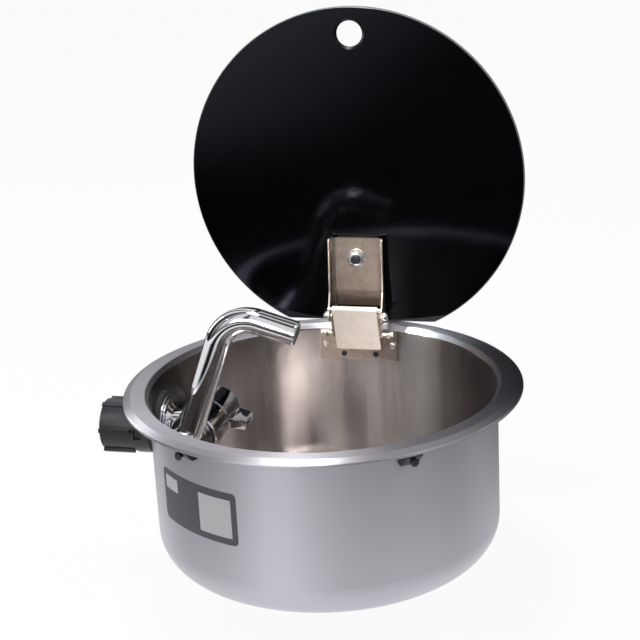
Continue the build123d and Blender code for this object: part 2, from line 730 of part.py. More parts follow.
def make_back_nut():
    body_radius = nut_radius - nut_lobe_height
    body = rod(body_radius, nut_length, (nut_end_x, 0, tap_z), (1, 0, 0))
    body = chamfer(body.edges().filter_by(GeomType.CIRCLE), nut_bevel)
    reach = rod(nut_radius, nut_length - nut_lobe_setback, (nut_end_x, 0, tap_z), (1, 0, 0))
    reach = chamfer(reach.edges().filter_by(GeomType.CIRCLE).sort_by(Axis.X)[0], nut_bevel)
    start_x = nut_end_x + nut_lobe_height
    lobe = block((start_x, body_radius - nut_lobe_width / 2, -nut_lobe_width / 2),
                 (nut_end_x + nut_length - nut_lobe_setback, nut_radius + overrun, nut_lobe_width / 2))
    for i in range(nut_lobes):
        turned_lobe = Rot(360 * i / nut_lobes, 0, 0) * lobe
        body += Pos(0, 0, tap_z) * turned_lobe & reach
    return body - rod(shank_radius + seat_gap / 2, nut_length + 2 * overrun,
                      (nut_end_x - overrun, 0, tap_z), (1, 0, 0))


def make_valve_cartridge():
    start = (tap_x, cartridge_inner_y + seat_gap, tap_z)
    cartridge = rod(cartridge_radius, tap_far_y - start[1] + seat_gap, start, (0, 1, 0))
    flange_start = (tap_x, cartridge_flange_y + seat_gap, tap_z)
    cartridge += rod(cartridge_collar_radius, cartridge_top_y - cartridge_flange_y, flange_start, (0, 1, 0))
    return cartridge - rod(stem_radius + running_gap, cartridge_top_y, (tap_x, stem_inner_y, tap_z),
                           (0, 1, 0))


def make_valve_spindle():
    start = (tap_x, stem_inner_y + swing_gap, tap_z)
    spindle = rod(stem_radius, stem_top_y - start[1], start, (0, 1, 0))
    thread_start = (tap_x, stem_top_y - stem_thread_depth, tap_z)
    return spindle - rod(handle_screw_radius, stem_thread_depth + overrun, thread_start, (0, 1, 0))


def make_handle_cap():
    length = handle_end_y - handle_start_y
    cap = rod(handle_radius, length, (tap_x, handle_start_y, tap_z), (0, 1, 0))
    cap = round_edges(cap, handle_round, Axis.Y, handle_end_y - overrun, handle_end_y + overrun)
    cavity_end = handle_end_y - handle_end_wall
    cap -= rod(handle_radius - handle_wall, cavity_end - handle_start_y + overrun,
               (tap_x, handle_start_y - overrun, tap_z), (0, 1, 0))
    hub_start = cartridge_top_y + 2 * swing_gap
    cap += rod(handle_hub_radius, cavity_end - hub_start + overrun, (tap_x, hub_start, tap_z), (0, 1, 0))
    cap -= rod(stem_radius + seat_gap / 2, stem_top_y + 2 * seat_gap - hub_start + overrun,
               (tap_x, hub_start - overrun, tap_z), (0, 1, 0))
    cap -= rod(handle_screw_radius + seat_gap, length, (tap_x, hub_start, tap_z), (0, 1, 0))
    button_seat = handle_end_y - handle_button_thickness - seat_gap
    cap -= rod(handle_button_radius + seat_gap, length, (tap_x, button_seat, tap_z), (0, 1, 0))
    cap -= rod(handle_screw_head_radius + seat_gap, length,
               (tap_x, button_seat - handle_screw_head_height - seat_gap, tap_z), (0, 1, 0))
    return cap


def make_handle_screw():
    seat = handle_end_y - handle_button_thickness - handle_screw_head_height - 2 * seat_gap
    tip_y = stem_top_y - stem_thread_depth + swing_gap
    screw = rod(handle_screw_radius, seat - tip_y, (tap_x, seat, tap_z), (0, -1, 0))
    head = rod(handle_screw_head_radius, handle_screw_head_height, (tap_x, seat, tap_z), (0, 1, 0))
    slot = block((tap_x - handle_screw_head_radius - overrun, seat + handle_screw_head_height / 2,
                  tap_z - handle_screw_radius / 4),
                 (tap_x + handle_screw_head_radius + overrun, seat + 2 * handle_screw_head_height,
                  tap_z + handle_screw_radius / 4))
    return screw + (head - slot)


def make_handle_button():
    start = (tap_x, handle_end_y - handle_button_thickness, tap_z)
    button = rod(handle_button_radius, handle_button_thickness, start, (0, 1, 0))
    return fillet(button.edges().filter_by(GeomType.CIRCLE).sort_by(Axis.Y)[-1],
                  handle_button_thickness / 2)


def make_handle_lever():
    root_x = tap_x + handle_radius - lever_root_depth
    tip_x = tap_x + handle_radius + lever_reach
    root = Plane(origin=(root_x, lever_y, tap_z), x_dir=(0, 1, 0), z_dir=(1, 0, 0)) * RectangleRounded(
        lever_root_width, lever_root_height, lever_round)
    tip = Plane(origin=(tip_x, lever_y, tap_z), x_dir=(0, 1, 0), z_dir=(1, 0, 0)) * RectangleRounded(
        lever_tip_width, lever_tip_height, lever_round)
    lever = loft([root, tip])
    lever = fillet(lever.edges().group_by(Axis.X)[-1], lever_round / 2)
    cap_length = handle_end_y - handle_start_y
    lever -= rod(handle_radius, cap_length, (tap_x, handle_start_y, tap_z), (0, 1, 0))
    half_width = lever_tip_width / 2 - lever_wall
    half_height = lever_tip_height / 2 - lever_wall
    lever -= block((tip_x - lever_pocket_depth, lever_y - half_width, tap_z - half_height),
                   (tip_x + overrun, lever_y + half_width, tap_z + half_height))
    return Pos(tap_x, 0, tap_z) * Rot(0, lever_tilt, 0) * Pos(-tap_x, 0, -tap_z) * lever


def spout_route():
    """Pivot, corner and end of the spout's centre line."""
    start = Vector(tap_x, spout_y, tap_z)
    rise = Vector(cos(radians(spout_angle)), 0, sin(radians(spout_angle)))
    arm_angle = radians(spout_angle - spout_turn)
    arm = Vector(cos(arm_angle), 0, sin(arm_angle))
    corner = start + rise * spout_stem
    return start, rise, corner, arm


def make_spout_tube():
    start, rise, corner, arm = spout_route()
    path = FilletPolyline(start + rise * spout_socket_start, corner, corner + arm * spout_arm,
                          radius=spout_bend_radius)
    section = Circle(spout_radius) - Circle(spout_radius - spout_wall)
    return sweep(Plane(origin=path @ 0, z_dir=path % 0) * section, path)


def make_aerator():
    start, rise, corner, arm = spout_route()
    inner = corner + arm * (spout_arm - aerator_recess - aerator_length)
    body = rod(spout_radius - spout_wall - seat_gap / 2, aerator_length, inner, arm)
    across = Vector(0, 1, 0)
    up = arm.cross(across)
    for i in range(aerator_holes):
        angle = 2 * pi * i / aerator_holes
        place = inner - arm * overrun + (across * cos(angle) + up * sin(angle)) * aerator_hole_ring
        body -= rod(aerator_hole_radius, aerator_length + 2 * overrun, place, arm)
    return body - rod(aerator_hole_radius, aerator_length + 2 * overrun, inner - arm * overrun, arm)


def make_spout_knuckle():
    start, rise, corner, arm = spout_route()
    knuckle = rod(knuckle_radius, knuckle_length, (tap_x, knuckle_end_y, tap_z), (0, 1, 0))
    knuckle = fillet(knuckle.edges().filter_by(GeomType.CIRCLE), knuckle_round)
    knuckle -= rod(spigot_radius + running_gap, knuckle_length,
                   (tap_x, knuckle_end_y + knuckle_end_wall, tap_z),
                   (0, 1, 0))
    knuckle -= rod(knuckle_chamber_radius, knuckle_chamber_width,
                   (tap_x, spout_y - knuckle_chamber_width / 2, tap_z), (0, 1, 0))
    knuckle -= rod(retainer_radius + swing_gap, 2 * knuckle_end_wall,
                   (tap_x, knuckle_end_y - overrun, tap_z), (0, 1, 0))
    knuckle -= rod(spout_radius + seat_gap / 2, knuckle_radius, start + rise * spout_socket_start, rise)
    return knuckle - rod(knuckle_port_radius, knuckle_radius, start + rise * spigot_radius, rise)


def make_spout_retainer():
    head_start = (tap_x, knuckle_end_y - swing_gap, tap_z)
    head = rod(retainer_head_radius, retainer_head_height, head_start, (0, -1, 0))
    head = fillet(head.edges().filter_by(GeomType.CIRCLE).sort_by(Axis.Y)[0], retainer_head_height * 0.6)
    length = spigot_end_y + retainer_depth - seat_gap * 2 - head_start[1]
    return head + rod(retainer_radius, length, head_start, (0, 1, 0))


def make_waste_strainer():
    cup_low = floor_top - strainer_cup_depth
    top = floor_top + strainer_thickness
    outline = [
        (0, cup_low), (strainer_cup_radius, cup_low), (strainer_cup_radius, floor_top),
        (strainer_flange_radius, floor_top), (strainer_flange_radius, top),
        (strainer_cup_radius - strainer_thickness, top),
        (strainer_cup_radius - strainer_thickness, cup_low + strainer_thickness),
        (0, cup_low + strainer_thickness),
    ]
    radii = [0, strainer_thickness, 0, 0, strainer_thickness * 0.8, strainer_thickness * 0.8, 0, 0]
    strainer = turned(outline, radii)
    strainer -= rod(waste_screw_radius + seat_gap, 4 * strainer_thickness, (0, 0, cup_low - overrun),
                    (0, 0, 1))
    patterns = ((strainer_hole_ring, strainer_hole_radius, 0),
                (strainer_inner_ring, strainer_inner_hole_radius, 0.5))
    for ring_radius, hole_radius, phase in patterns:
        count = strainer_holes if phase == 0 else strainer_holes // 2
        for i in range(count):
            angle = 2 * pi * (i + phase) / count
            place = (ring_radius * cos(angle), ring_radius * sin(angle), cup_low - overrun)
            strainer -= rod(hole_radius, 4 * strainer_thickness, place, (0, 0, 1))
    return strainer


def make_waste_gasket():
    return ring(waste_gasket_radius, strainer_cup_radius + seat_gap, waste_gasket_thickness,
                (0, 0, waste_gasket_z), (0, 0, 1))


def make_waste_body():
    chamber = waste_cup_radius - waste_cup_wall
    cup_low = waste_gasket_z - waste_cup_depth
    tail_low = cup_low - waste_tail_length
    flange_low = waste_gasket_z - waste_flange_thickness
    tail_bore = waste_tail_radius - waste_tail_wall
    outline = [
        (chamber, waste_gasket_z), (waste_flange_radius, waste_gasket_z), (waste_flange_radius, flange_low),
        (waste_cup_radius, flange_low), (waste_cup_radius, cup_low + waste_cup_wall),
        (waste_tail_radius, cup_low - waste_cup_wall), (waste_tail_radius, tail_low),
        (tail_bore, tail_low), (tail_bore, cup_low), (chamber, cup_low + 2 * waste_cup_wall),
    ]
    body = turned(outline, [0] * len(outline))
    web_top = waste_gasket_z - waste_web_drop
    half = waste_web_width / 2
    for size in ((chamber, half), (half, chamber)):
        arm = block((-size[0], -size[1], web_top - waste_web_height), (size[0], size[1], web_top))
        body += arm & rod(chamber + waste_cup_wall / 2, waste_cup_depth, (0, 0, cup_low), (0, 0, 1))
    return body - rod(waste_screw_radius, waste_cup_depth, (0, 0, web_top - waste_web_height - overrun),
                      (0, 0, 1))


def make_waste_screw():
    seat = floor_top - strainer_cup_depth + strainer_thickness
    head = rod(waste_screw_head_radius, waste_screw_head_height, (0, 0, seat), (0, 0, 1))
    head = fillet(head.edges().filter_by(GeomType.CIRCLE).sort_by(Axis.Z)[-1],
                  waste_screw_head_height * 0.6)
    slot = block((-2 * waste_screw_head_radius, -waste_screw_radius / 4,
                  seat + waste_screw_head_height / 2),
                 (2 * waste_screw_head_radius, waste_screw_radius / 4, seat + 2 * waste_screw_head_height))
    web_low = waste_gasket_z - waste_web_drop - waste_web_height
    return (head - slot) + rod(waste_screw_radius, seat - web_low, (0, 0, web_low), (0, 0, 1))


def clip_angles():
    return [clip_start_angle + i * 360 / clip_count for i in range(clip_count)]


def make_mount_clips():
    clips = []
    wall = rod(wall_outer_radius + clip_sheet_gap, bowl_depth, (0, 0, -bowl_depth), (0, 0, 1))
    low = clip_top_z - clip_height
    root = wall_outer_radius - overrun
    tip = wall_outer_radius + clip_reach
    for angle in clip_angles():
        points = [(root, clip_top_z), (tip, clip_top_z), (tip, clip_top_z - clip_toe_height),
                  (wall_outer_radius + clip_toe_height, low), (root, low)]
        profile = rounded(points, [0, clip_toe_height / 4, clip_toe_height / 3, clip_toe_height / 3, 0])
        clip = extrude(Plane.XZ.offset(-clip_width / 2) * profile, clip_width)
        clip -= Rot(0, 0, 90) * wall
        place = (wall_outer_radius - overrun, 0, clip_top_z - clip_screw_drop)
        clip -= rod(clip_screw_radius, 4 * clip_reach, place, (1, 0, 0))
        clips.append(Rot(0, 0, angle - 90) * clip)
    return Compound(children=clips)


def make_clip_screws():
    screws = []
    z = clip_top_z - clip_screw_drop
    slope = (clip_reach - clip_toe_height) / (clip_height - clip_toe_height)
    drop = clip_screw_drop - clip_screw_head_radius - clip_toe_height
    face = wall_outer_radius + clip_reach - drop * slope
    for angle in clip_angles():
        start = wall_outer_radius + clip_sheet_gap
        screw = rod(clip_screw_radius, face - start + seat_gap, (start, 0, z), (1, 0, 0))
        head = rod(clip_screw_head_radius, clip_screw_head_height, (face, 0, z), (1, 0, 0))
        head = fillet(head.edges().filter_by(GeomType.CIRCLE).sort_by(Axis.X)[-1],
                      clip_screw_head_height * 0.6)
        screws.append(Rot(0, 0, angle - 90) * (screw + head))
    return Compound(children=screws)


def wall_patch(start_angle, end_angle, low_z, high_z, inner, thickness, corner):
    """A thin patch lying on the outside of the bowl, with rounded corners."""
    middle = (start_angle + end_angle) / 2
    width = 2 * inner * sin(radians((end_angle - start_angle) / 2))
    shell = ring(inner + thickness, inner, high_z - low_z, (0, 0, low_z), (0, 0, 1))
    outline = RectangleRounded(width, high_z - low_z, corner)
    front = Plane(origin=(0, 0, (low_z + high_z) / 2), x_dir=(1, 0, 0), z_dir=(0, -1, 0))
    cutter = extrude(front * outline, rim_radius)
    return Rot(0, 0, middle) * (shell & cutter)


def make_label():
    inner = wall_outer_radius + seat_gap / 2
    return wall_patch(label_start_angle, label_end_angle, label_bottom_z, label_top_z, inner,
                      label_thickness, label_corner_round)


def make_label_panels():
    inner = wall_outer_radius + seat_gap / 2 + label_thickness + running_gap
    square_angle = degrees(square_panel_width / inner)
    margin_angle = degrees(square_panel_margin / inner)
    square_end = label_end_angle - margin_angle
    middle_z = (label_bottom_z + label_top_z) / 2
    half = square_panel_width / 2
    square = wall_patch(square_end - square_angle, square_end, middle_z - half, middle_z + half, inner,
                        panel_thickness, label_corner_round / 4)
    small_start = label_start_angle + margin_angle
    small_angle = degrees(small_panel_width / inner)
    small_top = label_top_z - square_panel_margin
    small = wall_patch(small_start, small_start + small_angle, small_top - small_panel_height,
                       small_top, inner,
                       panel_thickness, label_corner_round / 4)
    return Compound(children=[square, small])


PIECES = {
    "bowl": make_bowl,
    "label": make_label,
    "label_panels": make_label_panels,
    "mount_clips": make_mount_clips,
    "clip_screws": make_clip_screws,
    "hinge_base": make_hinge_base,
    "hinge_rivets": lambda: wall_fasteners(rivet_x, rivet_z, rivet_radius, rivet_head_radius,
                                           rivet_head_height),
    "hinge_screws": lambda: wall_fasteners(base_screw_x, base_screw_z, base_screw_radius,
                                           base_screw_head_radius, base_screw_head_height),
    "lower_pins": make_lower_pins,
    "hinge_link": make_hinge_link,
    "upper_pin": make_upper_pin,
    "stay_rod": make_stay_rod,
    "stay_plate": make_stay_plate,
    "lid_bracket": make_lid_bracket,
    "lid_pad": make_lid_pad,
    "lid_glass": make_lid_glass,
    "lid_washer": make_lid_washer,
    "lid_bolt": make_lid_bolt,
    "lid_nut": make_lid_nut,
    "tap_body": make_tap_body,
    "escutcheon": make_escutcheon,
    "inner_gasket": make_inner_gasket,
    "outer_gasket": make_outer_gasket,
    "tap_collar": make_tap_collar,
    "back_nut": make_back_nut,
    "valve_cartridge": make_valve_cartridge,
    "valve_spindle": make_valve_spindle,
    "handle_cap": make_handle_cap,
    "handle_lever": make_handle_lever,
    "handle_screw": make_handle_screw,
    "handle_button": make_handle_button,
    "spout_knuckle": make_spout_knuckle,
    "spout_tube": make_spout_tube,
    "spout_seals": make_spout_seals,
    "spout_retainer": make_spout_retainer,
    "aerator": make_aerator,
    "waste_strainer": make_waste_strainer,
    "waste_gasket": make_waste_gasket,
    "waste_body": make_waste_body,
    "waste_screw": make_waste_screw,
}

os.makedirs("parts", exist_ok=True)
for name, make in PIECES.items():
    piece = make()
    export_step(piece, "parts/" + name + ".step")
    print(name, "solids", len(piece.solids()), "volume", round(piece.volume, 1))

print("upper pin", [round(v, 3) for v in upper_pin], "lower pin", [round(v, 3) for v in lower_pin])
print("stay pivot", [round(v, 3) for v in stay_pivot], "link swing", round(link_swing, 3))
print("turning centre", [round(v, 3) for v in turning_centre])
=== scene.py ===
# %% [markdown]
# # A round steel sink with a glass lid
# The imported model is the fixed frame: every steel, glass and plastic part is already in its place,
# in metres, with the origin on the bowl's axis at worktop height. This file gives each part its
# finish, remakes three small parts in more detail, adds a bead to the spout, and sets up a camera
# and a studio.

# %% Load the frame
import bpy
from math import atan2, cos, degrees, hypot, pi, radians, sin
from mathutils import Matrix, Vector


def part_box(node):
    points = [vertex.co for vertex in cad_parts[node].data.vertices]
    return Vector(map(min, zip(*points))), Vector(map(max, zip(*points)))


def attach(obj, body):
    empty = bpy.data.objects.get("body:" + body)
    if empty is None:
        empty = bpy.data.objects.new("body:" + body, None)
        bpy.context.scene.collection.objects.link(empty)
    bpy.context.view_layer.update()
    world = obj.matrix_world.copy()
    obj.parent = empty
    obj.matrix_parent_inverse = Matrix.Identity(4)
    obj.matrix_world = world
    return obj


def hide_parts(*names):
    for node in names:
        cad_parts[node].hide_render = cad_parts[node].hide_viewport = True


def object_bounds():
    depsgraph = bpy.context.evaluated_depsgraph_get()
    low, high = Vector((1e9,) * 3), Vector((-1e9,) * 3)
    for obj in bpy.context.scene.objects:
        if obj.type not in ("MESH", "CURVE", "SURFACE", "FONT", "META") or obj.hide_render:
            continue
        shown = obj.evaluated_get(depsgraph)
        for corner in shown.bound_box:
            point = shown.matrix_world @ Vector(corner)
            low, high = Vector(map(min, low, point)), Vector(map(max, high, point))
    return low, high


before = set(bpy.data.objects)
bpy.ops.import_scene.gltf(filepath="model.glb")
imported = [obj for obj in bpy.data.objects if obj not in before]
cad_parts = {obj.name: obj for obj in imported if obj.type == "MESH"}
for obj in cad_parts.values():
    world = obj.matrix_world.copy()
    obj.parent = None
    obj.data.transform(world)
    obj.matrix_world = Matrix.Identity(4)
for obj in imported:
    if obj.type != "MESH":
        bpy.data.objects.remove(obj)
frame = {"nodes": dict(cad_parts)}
cad_low, cad_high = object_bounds()
nodes = frame["nodes"]
print("nodes", len(nodes), "box", [round(v, 3) for v in cad_low], [round(v, 3) for v in cad_high])


# %% [markdown]
# The photograph was taken with a long lens from a little above the rim. A 90 mm lens on a 36 mm
# sensor, 1.38 m from the bowl, gives its ellipses, and the camera leans three degrees.

# %% Camera
camera_place = (0.3257, -1.2501, 0.5022)
camera_turns = (71.099, 2.840, 13.605)
lens = 90
sensor = 36
farthest = 20


def add_camera():
    data = bpy.data.cameras.new("camera")
    data.lens = lens
    data.sensor_width = sensor
    data.clip_end = farthest
    camera = bpy.data.objects.new("camera", data)
    camera.location = camera_place
    camera.rotation_euler = [radians(turn) for turn in camera_turns]
    bpy.context.scene.collection.objects.link(camera)
    bpy.context.scene.camera = camera
    print("camera", lens, "mm,", round(Vector(camera_place).length, 2), "m from the origin")


add_camera()
bpy.context.scene.view_settings.view_transform = "Standard"


# %% [markdown]
# A finish is a sum of patterns, and such sums are easier to read as Python. `Field` wraps an
# output socket, so `a * 2 + b` adds the Math nodes, and `1 - a` works too.

# %% Shader sums
class Field:
    """A number or a colour that changes over a surface."""

    def __init__(self, nodes, socket):
        self.nodes = nodes
        self.socket = socket

    def math(self, operation, *others):
        values = dict(enumerate([self, *others]))
        return self.nodes.add("ShaderNodeMath", {"operation": operation}, values)

    def __add__(self, other): return self.math("ADD", other)
    def __radd__(self, other): return self.math("ADD", other)
    def __sub__(self, other): return self.math("SUBTRACT", other)
    def __rsub__(self, other): return (self * -1) + other
    def __mul__(self, other): return self.math("MULTIPLY", other)
    def __rmul__(self, other): return self.math("MULTIPLY", other)
    def __pow__(self, other): return self.math("POWER", other)

    def at_least(self, other):
        return self.math("MAXIMUM", other)

    def span(self, low, high, start=0.0, end=1.0):
        """This field between low and high, carried over to start and end."""
        return self.nodes.add("ShaderNodeMapRange", {},
                              {0: self, 1: low, 2: high, 3: start, 4: end})

    def above(self, edge, soft=0.0002):
        """0 below an edge and 1 above it, with a soft step."""
        return self.nodes.add("ShaderNodeMapRange", {"interpolation_type": "SMOOTHSTEP"},
                              {0: self, 1: edge - soft, 2: edge + soft})


def radius_of(x, y):
    """How far a point is from an axis."""
    return (x * x + y * y) ** 0.5


def turn_of(x, y):
    """How far round an axis a point is, in radians."""
    return x.math("ARCTAN2", y)


# %% [markdown]
# Every other node comes from one method, `add`. It takes a node's type, its settings, and what its
# sockets hold or are linked to. The methods below it are the few nodes that most finishes need.

# %% Node trees
class Nodes:
    """A tree of shader nodes."""

    def __init__(self, tree):
        self.tree = tree

    def put(self, socket, value):
        if isinstance(value, Field):
            self.tree.links.new(value.socket, socket)
        else:
            socket.default_value = value

    def add(self, kind, settings, inputs, output=0):
        node = self.tree.nodes.new(kind)
        for name, value in settings.items():
            setattr(node, name, value)
        for key, value in inputs.items():
            self.put(node.inputs[key], value)
        return Field(self, node.outputs[output])

    def mix(self, factor, first, second):
        """A blend of two colours."""
        colours = [value if isinstance(value, Field) else (*value, 1) for value in (first, second)]
        return self.add("ShaderNodeMix", {"data_type": "RGBA"},
                        {0: factor, 6: colours[0], 7: colours[1]}, 2)

    def place(self, kind="Object"):
        """Where a point lies, in metres."""
        return self.add("ShaderNodeTexCoord", {}, {}, kind)

    def axes(self, kind="Object"):
        """X, Y and Z of a point."""
        split = self.add("ShaderNodeSeparateXYZ", {}, {0: self.place(kind)})
        return [Field(self, axis) for axis in split.socket.node.outputs]

    def noise(self, stretch, detail, rough):
        """Noise that is finer along an axis with a larger number."""
        moved = self.add("ShaderNodeMapping", {}, {0: self.place(), 3: stretch})
        return self.add("ShaderNodeTexNoise", {},
                        {"Vector": moved, "Scale": 1.0, "Detail": detail, "Roughness": rough})

    def rays(self, kind):
        """1 for one kind of ray, such as the camera's, and 0 for the others."""
        return self.add("ShaderNodeLightPath", {}, {}, f"Is {kind} Ray")


# %% [markdown]
# What is the same all over a finish goes on the shader's own sockets, and what changes over the
# surface goes to its colour, roughness and bump. `dress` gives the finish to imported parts, whose
# shapes stay as they are.

# %% Finishes
class Finish(Nodes):
    """A material, and what changes over its surface."""

    def __init__(self, name, **uniform):
        self.material = bpy.data.materials.new(name)
        self.material.use_nodes = True
        super().__init__(self.material.node_tree)
        self.shader = self.tree.nodes["Principled BSDF"]
        for socket, value in uniform.items():
            self.shader.inputs[socket.replace("_", " ")].default_value = value

    def colour(self, value):
        self.put(self.shader.inputs["Base Color"], value)

    def rough(self, value):
        self.put(self.shader.inputs["Roughness"], value)

    def bump(self, height, depth, strength):
        self.put(self.shader.inputs["Normal"], self.add(
            "ShaderNodeBump", {}, {"Strength": strength, "Distance": depth, "Height": height}))


def dress(finish, *names):
    for name in names:
        mesh = nodes[name].data
        mesh.materials.clear()
        mesh.materials.append(finish.material)
    print(finish.material.name, "on", ", ".join(names))


# %% [markdown]
# The bowl is one pressing with two looks. Outside it is satin, with a fine level grain from the
# polishing belt. Inside it is brushed round the bowl, and its colour is painted brighter and warmer,
# a painted reflection of warm light. The middle of the sheet, a line up the wall and round the bend,
# parts one look from the other. Upright streaks vary the inside. A slow swell round the wall is a
# painted sheen, the inside is painted darker to its left and right as painted shade, and its floor
# is painted paler as painted light.

# %% Bowl steel
bend_from_axis = 0.1187
bend_depth = 0.1182
bend_to_middle = 0.0316
painted_light_depths = (0.125, 0.150)
painted_shade_sides = (0.088, 0.145)
painted_sheen_count = 4
painted_sheen_start = 0.36


def bowl_steel():
    steel = Finish("bowl_steel", Metallic=1.0, Anisotropic=0.8, Anisotropic_Rotation=0.25)
    x, y, z = steel.axes()
    grain = steel.noise((6, 6, 900), 4, 0.7)
    smear = steel.noise((9, 9, 5), 2, 0.5)
    streak = steel.noise((34, 34, 3), 4, 0.6).span(0.40, 0.60)
    # painted sheen: brighter and darker bands round the inside wall, a painted reflection
    painted_sheen = (turn_of(x, y) * painted_sheen_count + painted_sheen_start).math("SINE").span(-1, 1)
    across = (radius_of(x, y) - bend_from_axis).at_least(0)
    below = (-bend_depth - z).at_least(0)
    outside = radius_of(across, below).above(bend_to_middle)
    # painted shade: the inside is darker to its left and right, blended towards a dark brown below
    side = x.math("ABSOLUTE").span(*painted_shade_sides)
    # painted light: the inside floor is blended towards a pale warm colour
    painted_floor_light = (z * -1).span(*painted_light_depths)
    satin = steel.mix(smear, (0.46, 0.45, 0.495), (0.525, 0.515, 0.565))
    # the inside's colours are painted brighter and warmer than the outside's, a painted reflection
    # of warm light
    brushed = steel.mix(smear * 0.2 + streak * 0.4 + painted_sheen * 0.4,
                        (0.37, 0.345, 0.34), (0.86, 0.81, 0.785))
    brushed = steel.mix(side * 0.75, brushed, (0.13, 0.11, 0.105))
    brushed = steel.mix(painted_floor_light, brushed, (1.0, 0.94, 0.90))
    tone = steel.mix(outside, brushed, satin)
    steel.colour(steel.mix(grain * 0.35, tone, (0.42, 0.42, 0.45)))
    steel.rough(outside * 0.20 + grain * 0.10 + 0.16)
    steel.bump(grain, 0.00004, 0.5)
    return steel


dress(bowl_steel(), "bowl", "waste_strainer")


# %% [markdown]
# The lid is black toughened glass. Its faces are nearly perfect mirrors of a dark room. The ground
# edge is paler, and the finger hole's bevel is as dull as the edge but dark.

# %% Black glass
lid_height = 0.146
ground_from = 0.1562
hole_height = 0.2784
bevel_to = 0.0141


def black_glass():
    glass = Finish("black_glass", IOR=1.45, Specular_IOR_Level=0.35,
                   Specular_Tint=(0.75, 0.82, 1, 1))
    x, y, z = glass.axes()
    dust = glass.noise((60, 60, 60), 5, 0.7)
    ground = radius_of(x, z - lid_height).above(ground_from)
    bevel = 1 - radius_of(x, z - hole_height).above(bevel_to)
    face = glass.mix(dust, (0.0006, 0.0006, 0.0008), (0.0016, 0.0016, 0.0022))
    glass.colour(glass.mix(ground, face, (0.16, 0.17, 0.17)))
    glass.rough(dust * 0.03 + (ground + bevel) * 0.3 + 0.07)
    return glass


dress(black_glass(), "lid_glass")


# %% [markdown]
# The tap is chromed brass. The chrome itself is almost even, so its life comes from what it
# reflects and from a very slight waviness under the plating.

# %% Chrome
def chrome_plate():
    chrome = Finish("chrome_plate", Metallic=1.0)
    wave = chrome.noise((40, 40, 40), 2, 0.5)
    chrome.colour(chrome.mix(wave, (0.60, 0.60, 0.63), (0.72, 0.72, 0.75)))
    chrome.rough(wave * 0.05 + 0.03)
    chrome.bump(wave, 0.0003, 0.2)
    return chrome


chrome_finish = chrome_plate()
dress(chrome_finish, "tap_body", "escutcheon", "handle_cap", "handle_lever", "handle_button",
      "spout_knuckle", "spout_tube", "spout_retainer")


# %% [markdown]
# The hinge is sheet stainless, cut and folded, with the mill's fine grain and faint stains. It is
# warmer than the bowl. The stay plate gets the same nodes in a paler, duller mix with less metal:
# painted light, paler to stand in for the light that its face catches.

# %% Hinge steel
def folded_steel(name, metal, dark, light, rough):
    steel = Finish(name, Metallic=metal)
    grain = steel.noise((30, 30, 700), 4, 0.7)
    stain = steel.noise((110, 110, 110), 5, 0.7).span(0.35, 0.65)
    tone = steel.mix(stain, dark, light)
    steel.colour(steel.mix(grain * 0.3, tone, (0.46, 0.43, 0.41)))
    steel.rough(grain * 0.12 + rough)
    steel.bump(grain, 0.00005, 0.5)
    return steel


dress(folded_steel("hinge_steel", 1.0, (0.42, 0.35, 0.30), (0.62, 0.53, 0.46), 0.26),
      "hinge_base", "hinge_link", "lid_bracket")
# painted light: the stay plate's pale colour stands in for the light that its face catches
dress(folded_steel("stay_painted_light", 0.4, (0.84, 0.75, 0.68), (0.95, 0.87, 0.80), 0.38),
      "stay_plate")


# %% [markdown]
# Pins, nuts and screws are too small for a grain, so a fine speck varies their colour and gloss.
# Most are zinc plated or turned and polished. The lid bolt, the clip screws and the rivets are
# blackened: metal still, but nearly as dark as the lid, with dull and oily places.

# %% Small metal parts
def specked_metal(name, scale, dark, light, rough, unevenness):
    metal = Finish(name, Metallic=1.0)
    speck = metal.noise((scale, scale, scale), 3, 0.6)
    metal.colour(metal.mix(speck, dark, light))
    metal.rough(speck * unevenness + rough)
    metal.bump(speck, 0.00004, 0.4)
    return metal


bright_finish = specked_metal("bright_metal", 400, (0.66, 0.65, 0.64), (0.92, 0.91, 0.89),
                              0.18, 0.15)
black_finish = specked_metal("black_oxide", 500, (0.035, 0.038, 0.045), (0.09, 0.095, 0.11),
                             0.25, 0.2)
dress(bright_finish, "upper_pin", "stay_rod", "lower_pins", "hinge_screws", "lid_nut",
      "handle_screw", "waste_screw")
dress(black_finish, "lid_bolt", "clip_screws", "hinge_rivets")


# %% [markdown]
# The nut, the spacer, the clips and the waste are moulded in black plastic. A spark-eroded mould
# leaves a fine bump, and handling makes some places shinier than others.

# %% Black plastic
def black_plastic():
    plastic = Finish("black_plastic", Specular_IOR_Level=0.4)
    grain = plastic.noise((1500, 1500, 1500), 3, 0.6)
    wear = plastic.noise((25, 25, 25), 3, 0.6)
    plastic.colour(plastic.mix(wear, (0.009, 0.009, 0.012), (0.019, 0.019, 0.024)))
    plastic.rough(wear * 0.15 + 0.28)
    plastic.bump(grain, 0.00006, 0.5)
    return plastic


plastic_finish = black_plastic()
dress(plastic_finish, "mount_clips", "tap_collar", "back_nut", "waste_body")


# %% [markdown]
# Washers and seals are black rubber, the dullest finish here. A pale bloom comes out of old rubber
# in patches.

# %% Rubber
def black_rubber():
    rubber = Finish("rubber")
    bloom = rubber.noise((120, 120, 120), 4, 0.7)
    rubber.colour(rubber.mix(bloom, (0.012, 0.012, 0.012), (0.030, 0.030, 0.030)))
    rubber.rough(bloom * 0.2 + 0.6)
    rubber.bump(bloom, 0.0001, 0.4)
    return rubber


dress(black_rubber(), "lid_pad", "lid_washer", "inner_gasket", "outer_gasket", "spout_seals",
      "waste_gasket")


# %% [markdown]
# The label is a blank dark film with two silver areas. Films, brass and the plastics inside differ
# only in colour here, so one function makes them all.

# %% Label films and inner parts
def plain_finish(name, dark, light):
    plain = Finish(name)
    fibre = plain.noise((300, 300, 300), 3, 0.6)
    plain.colour(plain.mix(fibre, dark, light))
    plain.rough(fibre * 0.1 + 0.42)
    plain.bump(fibre, 0.00003, 0.4)
    return plain


